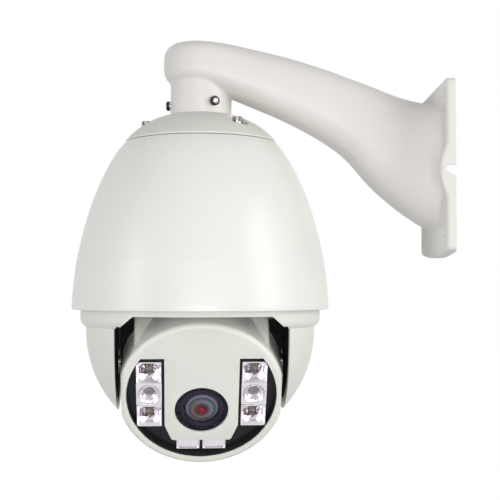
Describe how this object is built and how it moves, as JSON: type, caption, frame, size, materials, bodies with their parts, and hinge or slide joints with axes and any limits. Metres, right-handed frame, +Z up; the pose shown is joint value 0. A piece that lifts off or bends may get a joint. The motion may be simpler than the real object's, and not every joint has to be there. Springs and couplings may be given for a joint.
{
  "type": "ptz camera",
  "caption": "Infrared pan and tilt dome camera hanging from a cast gooseneck wall arm, with a tilting drum head, lamp columns and a zoom lens.",
  "frame": {"origin": "centre of the four wall bolts, on the wall plate's back face", "axes": "+X into the wall, square to the plate; +Z up; the camera looks along -Y at rest"},
  "size_m": [0.332, 0.229, 0.3742],
  "materials": {
    "cast_paint": "satin powder coat",
    "cap_paint": "satin powder coat",
    "bell_white": "satin paint",
    "shell_white": "fine satin",
    "ear_white": "fine satin",
    "rim_white": "fine satin",
    "steel": "machined",
    "zinc_screw": "plated",
    "black_plastic": "matt",
    "panel_black": "gloss",
    "aluminium": "machined",
    "rubber": "matt",
    "board_green": "solder mask",
    "component": "moulded",
    "lamp_chrome": "mirror",
    "lamp_clear": "clear",
    "emitter": "cured resin",
    "glass": "coated",
    "lens_glass": "coated"
  },
  "bodies": {
    "bracket": {"wall_plate": "cast_paint", "gooseneck_arm": "cast_paint", "neck_screws": "zinc_screw", "earth_screw": "zinc_screw", "top_cap": "cap_paint", "cap_screws": "zinc_screw", "cap_washers": "steel", "cap_seal": "rubber", "bell_housing": "bell_white", "chassis_plate": "aluminium", "chassis_posts": "steel", "chassis_screws": "zinc_screw", "bearing_housing": "aluminium", "bearing_outer_rings": "steel", "fixed_pulley": "black_plastic", "slip_ring_body": "black_plastic", "power_board": "board_green", "board_parts": "component", "fan_frame": "black_plastic", "heater": "aluminium"},
    "fan": {"fan_rotor": "black_plastic"},
    "yoke": {"bearing_inner_rings": "steel", "slip_ring_rotor": "black_plastic", "yoke_plate": "aluminium", "pan_shaft": "steel", "pan_collar": "ear_white", "side_frames": "black_plastic", "left_ear": "ear_white", "right_ear": "ear_white", "yoke_screws": "zinc_screw", "pan_motor": "component", "pan_belt": "rubber", "tilt_motor": "component", "tilt_belt": "rubber", "tilt_bearings": "steel", "control_board": "board_green"},
    "pan_pulley": {"pan_motor_pulley": "aluminium"},
    "tilt_small_pulley": {"tilt_motor_pulley": "aluminium"},
    "head": {"front_shell": "shell_white", "rear_shell": "shell_white", "hub_covers": "black_plastic", "head_seal": "rubber", "head_screws": "zinc_screw", "lamp_panel": "panel_black", "lamp_board": "board_green", "faceted_lamps": "lamp_chrome", "round_lamps": "lamp_clear", "lower_lamps": "lamp_clear", "lamp_emitters": "emitter", "window_ring": "rim_white", "window_glass": "glass", "lens_barrel": "black_plastic", "camera_block": "black_plastic", "front_lens": "lens_glass", "guide_rods": "steel", "sensor_board": "board_green", "tilt_shafts": "steel", "tilt_pulley": "aluminium"},
    "zoom_group": {"zoom_carriage": "black_plastic"},
    "focus_group": {"focus_carriage": "black_plastic"}
  },
  "joints": [
    {"name": "pan", "type": "hinge", "parent": "bracket", "child": "yoke", "pos_m": [-0.2175, 0, -0.084], "axis": [0, 0, 1], "continuous": true},
    {"name": "tilt", "type": "hinge", "parent": "yoke", "child": "head", "pos_m": [-0.2175, 0, -0.1694], "axis": [0.9977, 0.0671, 0], "range_deg": [-33, 61]},
    {"name": "fan_spin", "type": "hinge", "parent": "bracket", "child": "fan", "pos_m": [-0.2775, 0, -0.025], "axis": [0, 0, 1], "continuous": true},
    {"name": "pan_motor_spin", "type": "hinge", "parent": "yoke", "child": "pan_pulley", "pos_m": [-0.22166, 0.06186, -0.058], "axis": [0, 0, 1], "continuous": true},
    {"name": "tilt_motor_spin", "type": "hinge", "parent": "yoke", "child": "tilt_small_pulley", "pos_m": [-0.13569, 0.00551, -0.066], "axis": [0.9977, 0.0671, 0], "range_deg": [-90, 155]},
    {"name": "zoom", "type": "slide", "parent": "head", "child": "zoom_group", "axis": [-0.0588, 0.8743, 0.4818], "range_m": [0, 0.012]},
    {"name": "focus", "type": "slide", "parent": "head", "child": "focus_group", "axis": [-0.0588, 0.8743, 0.4818], "range_m": [-0.002, 0.003]}
  ],
  "couplings": [
    {"joint": "pan_motor_spin", "follows": "pan", "ratio": -5},
    {"joint": "tilt_motor_spin", "follows": "tilt", "ratio": 2.5}
  ]
}
